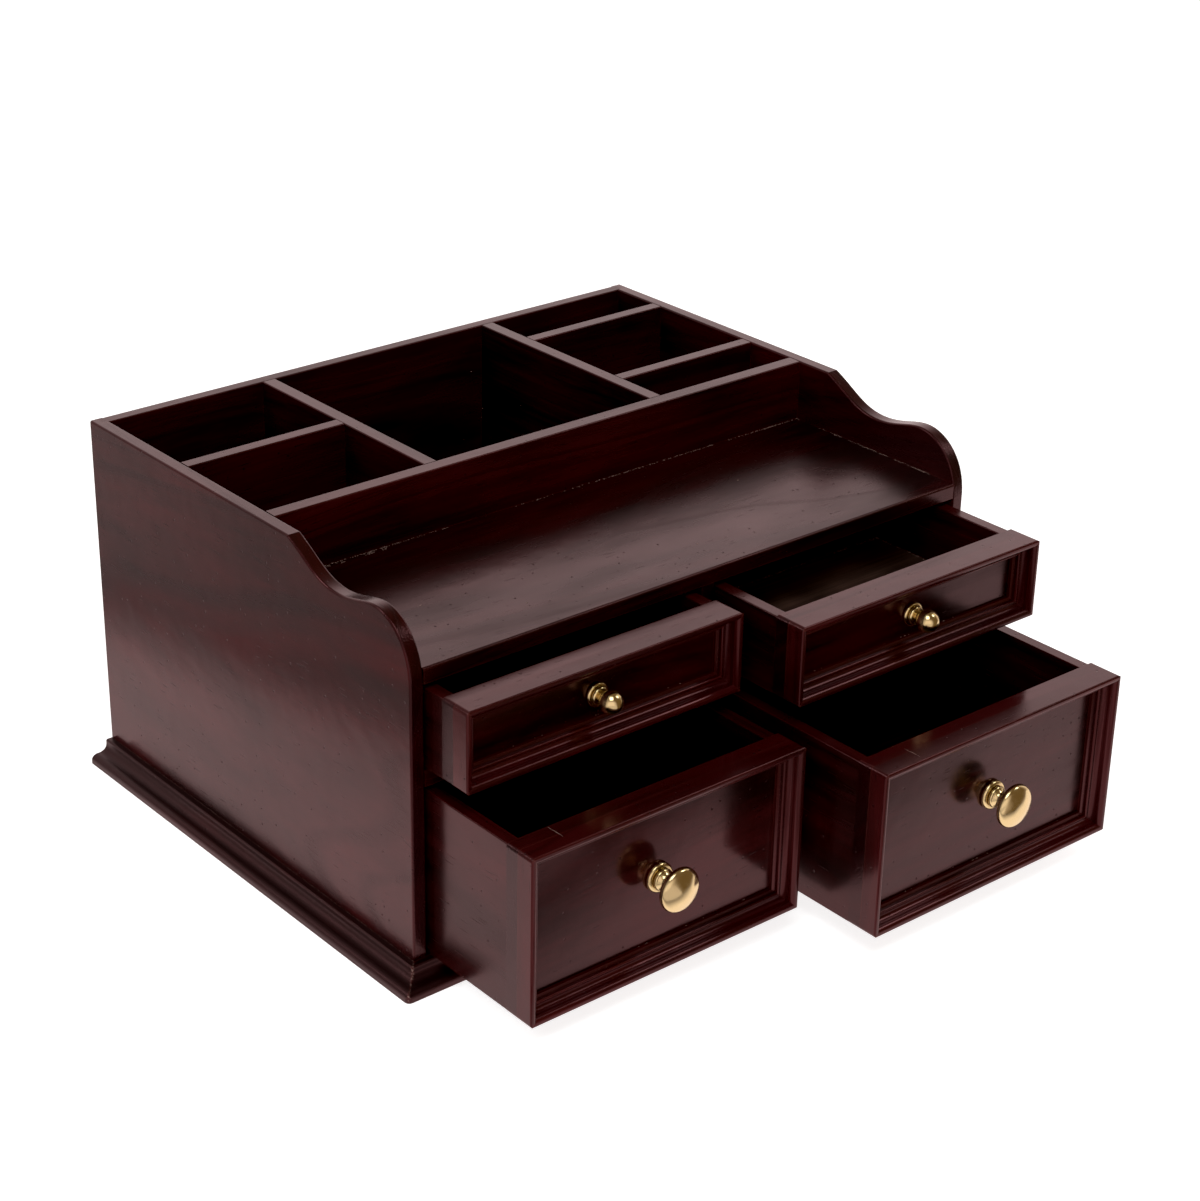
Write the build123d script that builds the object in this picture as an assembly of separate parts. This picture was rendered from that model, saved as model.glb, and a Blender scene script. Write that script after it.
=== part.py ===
from build123d import *
import os

# A stained wooden desk organizer: two scrolled side panels carry a shelf, a block of open compartments
# behind it and four framed drawers below it, on a moulded base.
# X runs to the right along the front, Y to the back and Z up. The origin is on the surface that the
# organizer stands on, under the middle of the carcass. All sizes are in millimetres.

# Carcass boards
carcass_w = 400.0
carcass_d = 310.0
side_t = 8.5
back_t = 8.0
base_board_t = 13.0
board_t = 9.0
wall_t = 9.5
partition_t = 9.0
cross_t = 8.5
drawer_divider_t = 9.0

# Places in the carcass
shelf_run = 131.0
wall_rise = 37.2
middle_bay_w = 156.0
end_bay_d = 34.0

# Joints between the boards
housing = 3.0
housing_stop = 9.0
back_rabbet = 4.0
edge_r = 0.8
shelf_edge_r = 1.5

# Scrolled top of the side panels, measured from the front edge and down from the top edge
scroll_run = 107.0
scroll_lean = 0.45
dip_run = 64.0
dip_drop = 16.8
hump_run = 30.0
hump_drop = 11.0
nose_drop = 46.0
scroll_fullness = (1.2, 1.2, 0.9, 1.5)
scroll_edge_r = 1.2

# Base moulding: a bead over a cove and an ovolo on a plain band
base_moulding_out = 15.0
base_moulding_h = 13.2
base_bead_out = 4.4
base_bead_h = 2.8
base_bead_r = 1.1
base_cove_out = 5.4
base_cove_h = 4.6
base_ledge = 1.0
base_band_h = 2.4
base_corner_r = 3.0

# Drawers
lower_front_h = 99.5
upper_front_h = 47.3
front_board_t = 9.1
front_corner_r = 2.4
drawer_side_t = 8.0
drawer_back_t = 8.0
drawer_bottom_t = 5.0
drawer_bottom_lift = 5.3
drawer_groove = 4.0
side_inset = 1.5
side_drop = 1.5

# Room around the drawers
run_gap = 0.5
head_gap = 2.0
side_gap = 0.8
rear_gap = 7.0

# How far each drawer is pulled out at rest
upper_left_pull = 34.5
upper_right_pull = 68.0
lower_left_pull = 86.5
lower_right_pull = 134.0

# Picture-frame moulding on the drawer fronts, from the outer edge inwards
frame_w = 11.2
frame_d = 11.4
frame_arris_r = 1.0
frame_rim = 1.8
frame_ovolo_w = 2.8
frame_ovolo_drop = 3.4
frame_cove_w = 2.7
frame_cove_drop = 3.6
frame_fillet = 0.4
frame_bead_w = 1.7
frame_bead_drop = 0.8
frame_bead_rise = 0.8
frame_quirk = 1.2
frame_inner_land = 1.8

# Mushroom knobs of the lower drawers: radii, and heights from the panel
large_foot_r = 7.9
large_rosette_r = 8.6
large_rosette_top_r = 6.8
large_rosette_h = 3.2
large_collar_r = 6.3
large_collar_foot_r = 5.5
large_collar_h = 2.6
large_neck_r = 3.8
large_neck_at = 8.8
large_flare_r = 11.8
large_flare_slope = 0.35
large_head_r = 12.7
large_rim_at = 15.0
large_rim_h = 1.4
large_dome = 5.8

# Ball knobs of the upper drawers
small_rosette_r = 7.0
small_rosette_h = 2.2
small_collar_r = 5.5
small_collar_foot_r = 4.8
small_collar_h = 2.4
small_neck_r = 3.2
small_ball_r = 6.5
small_ball_at = 12.2

# How far the knobs of the right-hand drawers sit to the right of the middle
upper_right_knob_shift = 2.6
lower_right_knob_shift = 4.5

# Shanks that hold the knobs
shank_r = 2.0
shank_gap = 0.15
shank_short = 1.5

# Worked-out places
inner_x = carcass_w / 2 - side_t
front_y = -carcass_d / 2
back_y = carcass_d / 2
back_face = back_y - back_t
wall_front = front_y + shelf_run
wall_back = wall_front + wall_t
lower_z = base_board_t + run_gap
middle_z0 = lower_z + lower_front_h + head_gap
middle_z1 = middle_z0 + board_t
upper_z = middle_z1 + run_gap
shelf_z0 = upper_z + upper_front_h + head_gap
shelf_z1 = shelf_z0 + board_t
top_z = shelf_z1 + wall_rise
partition_in = middle_bay_w / 2
partition_out = partition_in + partition_t


def block(x0, x1, y0, y1, z0, z1):
    """A plain box between two corners."""
    middle = Pos((x0 + x1) / 2, (y0 + y1) / 2, (z0 + z1) / 2)
    return middle * Box(x1 - x0, y1 - y0, z1 - z0)


def soft_top(board, axis):
    """A board whose two top edges along an axis are rounded over."""
    return fillet(board.edges().filter_by(axis).group_by(Axis.Z)[-1], edge_r)


def side_panel(x0):
    """One scrolled side panel, with its outer outline rounded on both faces."""
    top_front = (front_y + scroll_run, top_z)
    dip = (front_y + dip_run, top_z - dip_drop)
    hump = (front_y + hump_run, top_z - hump_drop)
    nose = (front_y, top_z - nose_drop)
    directions = [(-1, -scroll_lean), (-1, 0), (-1, 0), (0, -1)]
    scroll = Spline(top_front, dip, hump, nose, tangents=directions, tangent_scalars=scroll_fullness)
    outline = [
        Polyline(nose, (front_y, 0), (back_y, 0), (back_y, top_z), top_front),
        scroll,
    ]
    panel = extrude(Plane.YZ.offset(x0) * make_face(outline), side_t)
    outer_edges = panel.edges().filter_by(Axis.X, reverse=True)
    seen_edges = outer_edges.filter_by(lambda edge: edge.center().Z > housing and edge.center().Y < back_face)
    return fillet(seen_edges, scroll_edge_r)


def level_board(y1, z0):
    """A level board between the side panels, with stopped tongues for their housings."""
    board = block(-inner_x, inner_x, front_y, y1, z0, z0 + board_t)
    front_edges = board.edges().filter_by(Axis.X).group_by(Axis.Y)[0]
    board = fillet(front_edges.sort_by(Axis.Z)[-1:], shelf_edge_r)
    reach = inner_x + housing
    return board + block(-reach, reach, front_y + housing_stop, y1, z0, z0 + board_t)


def cross_wall(x0, x1, y0, thickness):
    """An upright wall across the compartments, with stopped tongues at both ends."""
    wall = soft_top(block(x0, x1, y0, y0 + thickness, middle_z1, top_z), Axis.X)
    return wall + block(x0 - housing, x1 + housing, y0, y0 + thickness, middle_z1, top_z - housing_stop)


def partition(x0):
    """An upright wall from the compartment front to the back, with stopped tongues at both ends."""
    wall = soft_top(block(x0, x0 + partition_t, wall_back, back_face, middle_z1, top_z), Axis.Y)
    tongue_y0 = wall_back - housing
    tongue_y1 = back_face + housing
    return wall + block(x0, x0 + partition_t, tongue_y0, tongue_y1, middle_z1, top_z - housing_stop)


def drawer_divider(y1, z0, z1):
    """The upright between two drawers, with stopped tongues into the boards above and below."""
    half = drawer_divider_t / 2
    upright = block(-half, half, front_y, y1, z0, z1)
    upright = fillet(upright.edges().filter_by(Axis.Z).group_by(Axis.Y)[0], edge_r)
    return upright + block(-half, half, front_y + housing_stop, y1, z0 - housing, z1 + housing)


def base_moulding_profile():
    """Section of the base moulding: first size outwards, second size up."""
    bead_low = base_moulding_h - base_bead_h
    cove_out = base_bead_out + base_cove_out
    cove_low = bead_low - base_cove_h
    ledge_out = cove_out + base_ledge
    ovolo_out = base_moulding_out - ledge_out
    bead_start = (base_bead_out - base_bead_r, base_moulding_h)
    bead_end = (base_bead_out, base_moulding_h - base_bead_r)
    edges = [
        Polyline((0, base_moulding_h), bead_start),
        RadiusArc(bead_start, bead_end, base_bead_r),
        Polyline(bead_end, (base_bead_out, bead_low)),
        EllipticalCenterArc((cove_out, bead_low), base_cove_out, base_cove_h, 180),
        Polyline((cove_out, cove_low), (ledge_out, cove_low)),
        EllipticalCenterArc((ledge_out, base_band_h), ovolo_out, cove_low - base_band_h, 0),
        Polyline((base_moulding_out, base_band_h), (base_moulding_out, 0), (0, 0), (0, base_moulding_h)),
    ]
    return make_face(edges)


def base_moulding(place, length, far_end_mitred):
    """A run of base moulding, mitred outwards at its start and mitred or square at its end."""
    out = base_moulding_out
    far = length + out if far_end_mitred else length
    run = extrude(Plane.YZ.offset(-out) * base_moulding_profile(), far + out)
    footprint = make_face(Polyline((0, 0), (length, 0), (far, out), (-out, out), close=True))
    return place * (run & extrude(footprint, base_moulding_h))


def frame_profile():
    """Section of the drawer-front moulding: first size in from the edge, second out from the panel."""
    ovolo_in = frame_rim + frame_ovolo_w
    ovolo_low = frame_d - frame_ovolo_drop
    cove_in = ovolo_in + frame_cove_w
    cove_low = ovolo_low - frame_cove_drop
    bead_start = cove_in + frame_fillet
    bead_end = bead_start + frame_bead_w
    bead_low = cove_low - frame_bead_drop
    bead_top = (cove_low + bead_low) / 2 + frame_bead_rise
    quirk_low = bead_low - frame_quirk
    edges = [
        Polyline((0, 0), (0, frame_d - frame_arris_r)),
        RadiusArc((0, frame_d - frame_arris_r), (frame_arris_r, frame_d), frame_arris_r),
        Polyline((frame_arris_r, frame_d), (frame_rim, frame_d)),
        EllipticalCenterArc((frame_rim, ovolo_low), frame_ovolo_w, frame_ovolo_drop, 0),
        EllipticalCenterArc((cove_in, ovolo_low), frame_cove_w, frame_cove_drop, 180),
        Polyline((cove_in, cove_low), (bead_start, cove_low)),
        ThreePointArc(
            (bead_start, cove_low),
            ((bead_start + bead_end) / 2, bead_top),
            (bead_end, bead_low),
        ),
        Polyline((bead_end, bead_low), (bead_end, quirk_low), (frame_w, frame_inner_land)),
        Polyline((frame_w, frame_inner_land), (frame_w, 0), (0, 0)),
    ]
    return make_face(edges)


def frame_strip(place, length):
    """One strip of the drawer-front moulding, mitred inwards at both ends."""
    run = extrude(Plane.YZ * frame_profile(), length)
    footprint = Polyline((0, 0), (length, 0), (length - frame_w, frame_w), (frame_w, frame_w), close=True)
    return place * (run & extrude(make_face(footprint), frame_d))


def turned(outline, place, shank_l):
    """A knob turned about its axis from half of its outline, with the shank that holds it."""
    head = revolve(Plane.XZ * make_face(outline), Axis.Z)
    shank = extrude(Circle(shank_r), -shank_l)
    return place * (head + shank)


def large_knob(place, shank_l):
    """A mushroom knob: round rosette with a collar, waisted neck and a wide domed head."""
    rosette_top = (large_rosette_top_r, large_rosette_h)
    collar_foot = (large_collar_foot_r, large_rosette_h)
    collar_side = (large_collar_r, large_rosette_h + large_collar_h / 2)
    collar_top = (large_collar_foot_r, large_rosette_h + large_collar_h)
    neck = (large_neck_r, large_neck_at)
    flare = (large_flare_r, large_rim_at)
    face_at = large_rim_at + large_rim_h
    shoulder = (large_head_r * 0.75, face_at + large_dome * 0.66)
    crown = (0, face_at + large_dome)
    outline = [
        Line((0, 0), (large_foot_r, 0)),
        ThreePointArc((large_foot_r, 0), (large_rosette_r, large_rosette_h / 2), rosette_top),
        Line(rosette_top, collar_foot),
        ThreePointArc(collar_foot, collar_side, collar_top),
        Spline(collar_top, neck, flare, tangents=[(-1, 1), (0, 1), (1, large_flare_slope)]),
        Spline(flare, (large_head_r, face_at), tangents=[(1, large_flare_slope), (0, 1)]),
        Spline((large_head_r, face_at), shoulder, crown, tangents=[(0, 1), (-1, 0)]),
        Line(crown, (0, 0)),
    ]
    return turned(outline, place, shank_l)


def small_knob(place, shank_l):
    """A ball knob: flat rosette with a rounded edge and a collar, short neck and a ball."""
    ball_low = small_ball_at - (small_ball_r**2 - small_neck_r**2) ** 0.5
    crown = (0, small_ball_at + small_ball_r)
    edge = small_rosette_h / 2
    rim_x = small_rosette_r - edge
    collar_foot = (small_collar_foot_r, small_rosette_h)
    collar_side = (small_collar_r, small_rosette_h + small_collar_h / 2)
    collar_top = (small_collar_foot_r, small_rosette_h + small_collar_h)
    neck = (small_neck_r, ball_low)
    outline = [
        Line((0, 0), (rim_x, 0)),
        ThreePointArc((rim_x, 0), (small_rosette_r, edge), (rim_x, small_rosette_h)),
        Line((rim_x, small_rosette_h), collar_foot),
        ThreePointArc(collar_foot, collar_side, collar_top),
        Polyline(collar_top, (small_neck_r, small_rosette_h + small_collar_h), neck),
        ThreePointArc(neck, (small_ball_r, small_ball_at), crown),
        Line(crown, (0, 0)),
    ]
    return turned(outline, place, shank_l)


def drawer(name, span, row, pull, knob_shift):
    """The pieces of one drawer at its place, pulled out of the carcass."""
    x0, x1 = span
    z0, front_h, length, knob = row
    z1 = z0 + front_h
    face_y = front_y - pull
    panel_y = face_y + frame_d
    board_back = panel_y + front_board_t
    end_y = face_y + length
    left_out = x0 + side_inset
    right_out = x1 - side_inset
    left_in = left_out + drawer_side_t
    right_in = right_out - drawer_side_t
    side_top = z1 - side_drop
    back_in = end_y - drawer_back_t
    floor_z = z0 + drawer_bottom_lift

    middle = Pos((x0 + x1) / 2, board_back, (z0 + z1) / 2)
    outline = extrude(Plane.XZ * RectangleRounded(x1 - x0, front_h, front_corner_r), frame_d + front_board_t)
    outline = middle * outline

    bottom = block(
        left_in - drawer_groove,
        right_in + drawer_groove,
        board_back - drawer_groove,
        back_in + drawer_groove,
        floor_z,
        floor_z + drawer_bottom_t,
    )
    sides = []
    for side_x0, side_x1 in ((left_out, left_in), (right_in, right_out)):
        side = soft_top(block(side_x0, side_x1, board_back, end_y, z0, side_top), Axis.Y)
        tongue = block(side_x0, side_x1, board_back - drawer_groove, end_y, z0, side_top - housing_stop)
        sides.append(side + tongue)
    back = soft_top(block(left_in, right_in, back_in, end_y, z0, side_top), Axis.X)
    back += block(left_in - housing, right_in + housing, back_in, end_y, z0, side_top - housing_stop)
    back -= bottom

    knob_x = (x0 + x1) / 2 + knob_shift
    seat = Plane(origin=(knob_x, panel_y, (z0 + z1) / 2), x_dir=(1, 0, 0), z_dir=(0, -1, 0))
    knob_hole = seat.location * extrude(Circle(shank_r + shank_gap), -front_board_t)
    front_board = block(x0, x1, panel_y, board_back, z0, z1) & outline
    front_board -= sides[0] + sides[1] + bottom + knob_hole

    pieces = {
        "front_board": front_board,
        "side_left": sides[0] - bottom - back,
        "side_right": sides[1] - bottom - back,
        "back": back,
        "bottom": bottom,
        "knob": knob(seat.location, front_board_t - shank_short),
    }
    strips = {
        "moulding_bottom": ((x0, z0), (1, 0, 0), x1 - x0),
        "moulding_right": ((x1, z0), (0, 0, 1), front_h),
        "moulding_top": ((x1, z1), (-1, 0, 0), x1 - x0),
        "moulding_left": ((x0, z1), (0, 0, -1), front_h),
    }
    for strip, ((x, z), along, strip_l) in strips.items():
        place = Plane(origin=(x, panel_y, z), x_dir=along, z_dir=(0, -1, 0)).location
        pieces[strip] = frame_strip(place, strip_l) & outline
    return {name + "_drawer_" + piece: solid for piece, solid in pieces.items()}


# Boards of the carcass
base_board = block(-inner_x - housing, inner_x + housing, front_y, back_face, 0, base_board_t)
middle_board = level_board(back_face, middle_z0)
shelf_board = level_board(wall_front, shelf_z0)
shelf_board += block(-inner_x, inner_x, wall_front, wall_front + housing, shelf_z0, shelf_z1)
back_reach = inner_x + back_rabbet
back_panel = soft_top(block(-back_reach, back_reach, back_face, back_y, 0, top_z), Axis.X)
front_wall = cross_wall(-inner_x, inner_x, wall_front, wall_t)
left_partition = partition(-partition_out)
right_partition = partition(partition_in)

# Cross dividers: one in the middle of the left column, two that make equal end bays in the right column
left_cross_y = (wall_back + back_face - cross_t) / 2
left_cross = cross_wall(-inner_x, -partition_out, left_cross_y, cross_t)
right_rear_cross = cross_wall(partition_out, inner_x, back_face - end_bay_d - cross_t, cross_t)
right_front_cross = cross_wall(partition_out, inner_x, wall_back + end_bay_d, cross_t)

upper_divider = drawer_divider(wall_front, middle_z1, shelf_z0)
lower_divider = drawer_divider(back_face, base_board_t, middle_z0)

# Housings: each board is cut by the tongues that run into it
left_side = side_panel(-carcass_w / 2) - base_board - middle_board - shelf_board
left_side = left_side - front_wall - back_panel - left_cross
right_side = side_panel(inner_x) - base_board - middle_board - shelf_board
right_side = right_side - front_wall - back_panel - right_rear_cross - right_front_cross
front_wall = front_wall - shelf_board - left_partition - right_partition
back_panel = back_panel - left_partition - right_partition
left_partition -= left_cross
right_partition = right_partition - right_rear_cross - right_front_cross
base_board -= lower_divider
middle_board = middle_board - lower_divider - upper_divider
shelf_board -= upper_divider

# Base moulding round the front and both sides, cut off square at the back
half_w = carcass_w / 2
front_foot = Plane(origin=(half_w, front_y, 0), x_dir=(-1, 0, 0), z_dir=(0, 0, 1)).location
left_foot = Plane(origin=(-half_w, front_y, 0), x_dir=(0, 1, 0), z_dir=(0, 0, 1)).location
base_w = carcass_w + 2 * base_moulding_out
base_d = carcass_d + base_moulding_out
base_plate = block(-base_w / 2, base_w / 2, back_y - base_d, back_y, 0, base_moulding_h)
base_plate = fillet(base_plate.edges().filter_by(Axis.Z).group_by(Axis.Y)[0], base_corner_r)
left_moulding = base_moulding(left_foot, carcass_d, False) & base_plate

nodes = {
    "left_side_panel": left_side,
    "right_side_panel": right_side,
    "back_panel": back_panel,
    "base_board": base_board,
    "middle_board": middle_board,
    "shelf_board": shelf_board,
    "compartment_front_wall": front_wall,
    "left_partition": left_partition,
    "right_partition": right_partition,
    "left_cross_divider": left_cross,
    "right_rear_cross_divider": right_rear_cross,
    "right_front_cross_divider": right_front_cross,
    "upper_drawer_divider": upper_divider,
    "lower_drawer_divider": lower_divider,
    "base_moulding_front": base_moulding(front_foot, carcass_w, True) & base_plate,
    "base_moulding_left": left_moulding,
    "base_moulding_right": mirror(left_moulding, Plane.YZ),
}

# Drawers fill the openings on both sides of the dividers
near_x = drawer_divider_t / 2 + side_gap
far_x = inner_x - side_gap
left = (-far_x, -near_x)
right = (near_x, far_x)
upper = (upper_z, upper_front_h, shelf_run - rear_gap, small_knob)
lower = (lower_z, lower_front_h, carcass_d - back_t - rear_gap, large_knob)
nodes.update(drawer("upper_left", left, upper, upper_left_pull, 0))
nodes.update(drawer("upper_right", right, upper, upper_right_pull, upper_right_knob_shift))
nodes.update(drawer("lower_left", left, lower, lower_left_pull, 0))
nodes.update(drawer("lower_right", right, lower, lower_right_pull, lower_right_knob_shift))

os.makedirs("parts", exist_ok=True)
for node, solid in nodes.items():
    export_step(solid, "parts/" + node + ".step")
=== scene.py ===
import math
import random

import bmesh
import bpy
from bpy.props import FloatProperty, FloatVectorProperty, PointerProperty
from mathutils import Euler, Matrix, Vector


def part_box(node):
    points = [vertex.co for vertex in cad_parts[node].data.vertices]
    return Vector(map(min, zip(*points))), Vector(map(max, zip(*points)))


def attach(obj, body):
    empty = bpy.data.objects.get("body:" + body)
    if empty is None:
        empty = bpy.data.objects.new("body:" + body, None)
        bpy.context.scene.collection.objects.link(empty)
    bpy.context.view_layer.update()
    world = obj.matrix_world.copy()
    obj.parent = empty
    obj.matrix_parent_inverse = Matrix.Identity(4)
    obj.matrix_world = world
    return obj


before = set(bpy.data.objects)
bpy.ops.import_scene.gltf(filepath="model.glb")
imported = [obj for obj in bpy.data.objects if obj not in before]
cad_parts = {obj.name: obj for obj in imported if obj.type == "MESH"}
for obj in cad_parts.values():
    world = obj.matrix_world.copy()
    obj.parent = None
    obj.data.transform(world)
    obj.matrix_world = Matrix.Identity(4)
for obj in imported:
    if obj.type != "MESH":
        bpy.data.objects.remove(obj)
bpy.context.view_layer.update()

bl_info = {
    "name": "Desk Organizer Finish",
    "version": (1, 0, 0),
    "blender": (4, 5, 0),
    "location": "View3D > Sidebar > Organizer",
    "description": "Stains and lacquers a wooden desk organizer, polishes its brass knobs and lights it",
    "category": "Object",
}

MM = 0.001
DRAWERS = ("upper_left_drawer", "upper_right_drawer", "lower_left_drawer", "lower_right_drawer")

# Sockets of a Mix node that mixes colours
MIX_A, MIX_B, MIX_RESULT = 6, 7, 2


def linear(hex_colour):
    """An sRGB hex colour as linear red, green and blue."""
    channels = [int(hex_colour[i:i + 2], 16) / 255 for i in (1, 3, 5)]
    return tuple(c / 12.92 if c <= 0.04045 else ((c + 0.055) / 1.055) ** 2.4 for c in channels)


def add(tree, kind, inputs=None, **settings):
    """A node with its settings, and its inputs set to values or linked to other nodes.

    A node given as an input stands for its first output, and a list feeds one socket from several nodes."""
    node = tree.nodes.new(kind)
    for name, value in settings.items():
        setattr(node, name, value)
    for socket, value in (inputs or {}).items():
        for source in value if isinstance(value, list) else [value]:
            if isinstance(source, bpy.types.Node):
                source = source.outputs[0]
            if isinstance(source, bpy.types.NodeSocket):
                tree.links.new(source, node.inputs[socket])
            else:
                node.inputs[socket].default_value = source
    return node


def new_material(name):
    """An empty node material and its tree."""
    material = bpy.data.materials.new(name)
    material.use_nodes = True
    material.node_tree.nodes.clear()
    return material, material.node_tree


def mesh_from(bm, name):
    """A bmesh as a mesh."""
    mesh = bpy.data.meshes.new(name)
    bm.to_mesh(mesh)
    bm.free()
    return mesh


def put_in_scene(name, data):
    """An object of the scene, at the origin."""
    thing = bpy.data.objects.new(name, data)
    bpy.context.scene.collection.objects.link(thing)
    return thing


def place_piece(mesh, name, material, body):
    """A mesh as a finished piece at the origin that rides on a body."""
    mesh.materials.clear()
    mesh.materials.append(material)
    piece = put_in_scene(name, mesh)
    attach(piece, body)


def dress(nodes, material):
    """CAD nodes shown in a finished material."""
    for name in nodes:
        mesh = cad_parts[name].data
        mesh.materials.clear()
        mesh.materials.append(material)


class OrganizerWood(bpy.types.PropertyGroup):
    """Stain and lacquer of the boards"""

    stain_deep: FloatVectorProperty(
        name="Deep stain", description="Darkest streaks of the stained wood",
        subtype="COLOR", default=linear("#0d0605"), min=0, max=1,
    )
    stain_red: FloatVectorProperty(
        name="Red stain", description="Lightest streaks of the stained wood",
        subtype="COLOR", default=linear("#390f10"), min=0, max=1,
    )
    stain_worn: FloatVectorProperty(
        name="Rubbed edge", description="Stain rubbed thin along the edges",
        subtype="COLOR", default=linear("#4d2520"), min=0, max=1,
    )
    # This colour is real stain in pores, pits and end grain, and painted shade in the hollows of each piece.
    stain_and_painted_shade: FloatVectorProperty(
        name="Pooled stain", description="Stain gathered in pores and hollows",
        subtype="COLOR", default=linear("#070203"), min=0, max=1,
    )
    lacquer_tint: FloatVectorProperty(
        name="Lacquer tint", description="Colour that the dyed lacquer gives to its reflections",
        subtype="COLOR", default=linear("#ffaaae"), min=0, max=1,
    )
    band_width: FloatProperty(
        name="Growth band", description="Width of a growth band in millimetres", default=5.0, min=1, max=20,
    )
    pore_length: FloatProperty(
        name="Pore length", description="Length of an open pore in millimetres", default=9.0, min=1, max=40,
    )
    pore_width: FloatProperty(
        name="Pore width", description="Width of an open pore in millimetres", default=0.4, min=0.1, max=3,
    )
    lacquer_roughness: FloatProperty(
        name="Lacquer roughness", description="Roughness of the rubbed lacquer",
        subtype="FACTOR", default=0.18, min=0, max=1,
    )


class OrganizerBrass(bpy.types.PropertyGroup):
    """Finish of the knobs and their screws"""

    brass: FloatVectorProperty(
        name="Brass", description="Colour of the polished brass",
        subtype="COLOR", default=linear("#e9d6a0"), min=0, max=1,
    )
    tarnish: FloatVectorProperty(
        name="Tarnish", description="Colour of the brass in its grooves",
        subtype="COLOR", default=linear("#8a6a38"), min=0, max=1,
    )
    polish_roughness: FloatProperty(
        name="Polish", description="Roughness of the polished brass",
        subtype="FACTOR", default=0.17, min=0, max=1,
    )
    screw_head: FloatProperty(
        name="Screw head", description="Diameter of the screw heads inside the drawers",
        subtype="DISTANCE", unit="LENGTH", default=7.2 * MM, min=4 * MM, max=9 * MM,
    )
    washer: FloatProperty(
        name="Washer", description="Diameter of the washers under the screw heads",
        subtype="DISTANCE", unit="LENGTH", default=10.0 * MM, min=6 * MM, max=14 * MM,
    )


class OrganizerWear(bpy.types.PropertyGroup):
    """Traces of polish, dust and use, and the pins of the back"""

    polish: FloatVectorProperty(
        name="Dried polish", description="Colour of polish and dust left in corners",
        subtype="COLOR", default=linear("#937c74"), min=0, max=1,
    )
    dust: FloatVectorProperty(
        name="Dusty board", description="Colour of the dusty drawer bottoms",
        subtype="COLOR", default=linear("#6a4f44"), min=0, max=1,
    )
    flake: FloatProperty(
        name="Flake", description="Size of a flake of dried polish",
        subtype="DISTANCE", unit="LENGTH", default=0.45 * MM, min=0.1 * MM, max=2 * MM,
    )
    pin: FloatProperty(
        name="Pin", description="Diameter of the pin heads in the back panel",
        subtype="DISTANCE", unit="LENGTH", default=2.2 * MM, min=1 * MM, max=4 * MM,
    )
    pin_spacing: FloatProperty(
        name="Pin spacing", description="Distance between the pins of the back panel",
        subtype="DISTANCE", unit="LENGTH", default=62 * MM, min=20 * MM, max=150 * MM,
    )


class OrganizerStage(bpy.types.PropertyGroup):
    """Floor, lights and camera"""

    floor_colour: FloatVectorProperty(
        name="Floor", description="Colour of the paper that the organizer stands on",
        subtype="COLOR", default=linear("#e6f0f2"), min=0, max=1,
    )
    sky: FloatProperty(
        name="Backdrop", description="Brightness of the pale backdrop behind the organizer",
        default=1.2, min=0, max=10,
    )
    room: FloatVectorProperty(
        name="Room", description="Colour of the dim room round the table",
        subtype="COLOR", default=linear("#6c573e"), min=0, max=1,
    )
    room_left: FloatVectorProperty(
        name="Left of the room", description="Colour of the lighter room behind on the left",
        subtype="COLOR", default=linear("#958986"), min=0, max=1,
    )
    sheet: FloatProperty(
        name="White sheet", description="Brightness of the sheet as the lacquer reflects it",
        default=1.0, min=0, max=10,
    )
    warmth: FloatVectorProperty(
        name="Warmth", description="Colour of the light from the sheet and the backdrop",
        subtype="COLOR", default=(1.15, 0.96, 0.94), min=0, max=2,
    )
    lens: FloatProperty(
        name="Lens", description="Focal length of the camera in millimetres",
        default=77.77, min=20, max=200,
    )


def grain_space(tree, here, grain, pith, tilt):
    """Places in the log, in millimetres, with the fibres along X and the pith as the axis.

    Grain names the board's axis that the fibres follow, pith says where the middle of the tree lies from the
    origin, in millimetres, and tilt how it leans, in degrees."""
    turn = {"X": (0, 0, 0), "Y": (0, 0, -90), "Z": (0, 90, 0)}[grain]
    turn = tuple(math.radians(a + b) for a, b in zip(turn, tilt))
    log = add(tree, "ShaderNodeMapping", {
        "Vector": here, "Location": pith, "Rotation": turn, "Scale": (1000, 1000, 1000),
    })

    # The fibres wander by some millimetres over a hand's width.
    slow = add(tree, "ShaderNodeVectorMath", {0: log, 1: (1 / 300, 1 / 110, 1 / 110)}, operation="MULTIPLY")
    wander = add(tree, "ShaderNodeTexNoise", {"Vector": slow, "Scale": 1, "Detail": 1})
    return add(tree, "ShaderNodeVectorMath", {
        0: wander.outputs["Color"], 1: (0, 24, 24), 2: log,
    }, operation="MULTIPLY_ADD")


def growth_bands(tree, log, width):
    """Growth bands round the pith, and a thin line where some of them end."""
    across = add(tree, "ShaderNodeVectorMath", {0: log, 1: (0, 1, 1)}, operation="MULTIPLY")
    radius = add(tree, "ShaderNodeVectorMath", {0: across}, operation="LENGTH").outputs["Value"]
    bands = add(tree, "ShaderNodeTexNoise", {
        "W": radius, "Scale": 1 / width, "Detail": 3, "Roughness": 0.6,
    }, noise_dimensions="1D")
    years = add(tree, "ShaderNodeTexNoise", {
        "W": radius, "Scale": 0.3 / width, "Detail": 1,
    }, noise_dimensions="1D")
    middle = add(tree, "ShaderNodeMath", {0: years, 1: 0.5}, operation="SUBTRACT")
    middle = add(tree, "ShaderNodeMath", {0: middle}, operation="ABSOLUTE")
    lines = add(tree, "ShaderNodeMapRange", {
        "Value": middle, "From Min": 0.006, "From Max": 0.026, "To Min": 1, "To Max": 0,
    })
    return bands, lines


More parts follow.
